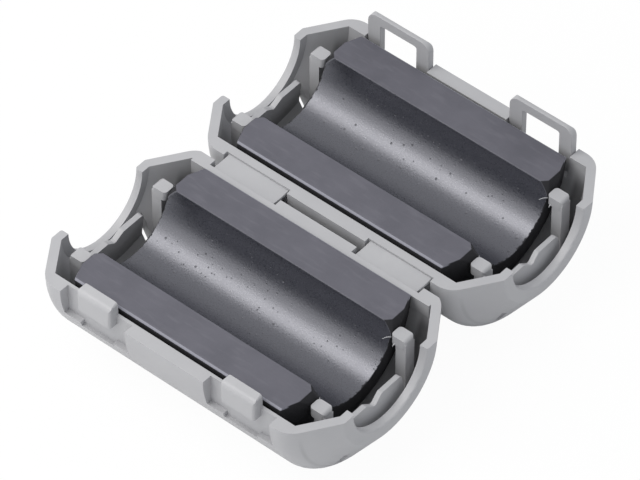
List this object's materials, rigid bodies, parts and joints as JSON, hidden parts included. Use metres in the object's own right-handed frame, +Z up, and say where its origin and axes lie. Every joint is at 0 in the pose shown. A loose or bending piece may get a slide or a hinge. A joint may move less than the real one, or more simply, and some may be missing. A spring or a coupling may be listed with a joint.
{
  "type": "clip on ferrite bead",
  "caption": "Two hinged half casings, each holding a half ferrite core, that fold shut round a cable and latch with two loops over two catches.",
  "frame": {"origin": "on the table under the hinge line, midway along the casing: the centre of the bottom of the open part's box", "axes": "+X along the cable, +Y from the half with the catches to the half with the loops, +Z up out of the open halves"},
  "size_m": [0.045, 0.057, 0.018],
  "materials": {
    "casing": "fine matte, moulded in light grey",
    "ferrite": "sintered, dull on the cut faces and smoother in the channel"
  },
  "bodies": {
    "near_half": {"near_shell": "casing", "near_core": "ferrite", "hinge_strap_left": "casing", "hinge_strap_right": "casing"},
    "far_half": {"far_shell": "casing", "far_core": "ferrite"},
    "left_loop": {"latch_loop_left": "casing"},
    "right_loop": {"latch_loop_right": "casing"}
  },
  "joints": [
    {"name": "hinge", "type": "hinge", "parent": "near_half", "child": "far_half", "pos_m": [0, 0, 0.01455], "axis": [1, 0, 0], "range_deg": [0, 180], "deforming": ["hinge_strap_left", "hinge_strap_right"]},
    {"name": "left_loop_flex", "type": "hinge", "parent": "far_half", "child": "left_loop", "pos_m": [-0.011, 0.0276, 0.0108], "axis": [-1, 0, 0], "range_deg": [0, 12], "stiffness_Nm_per_rad": 0.02},
    {"name": "right_loop_flex", "type": "hinge", "parent": "far_half", "child": "right_loop", "pos_m": [0.011, 0.0276, 0.0108], "axis": [-1, 0, 0], "range_deg": [0, 12], "stiffness_Nm_per_rad": 0.02}
  ]
}
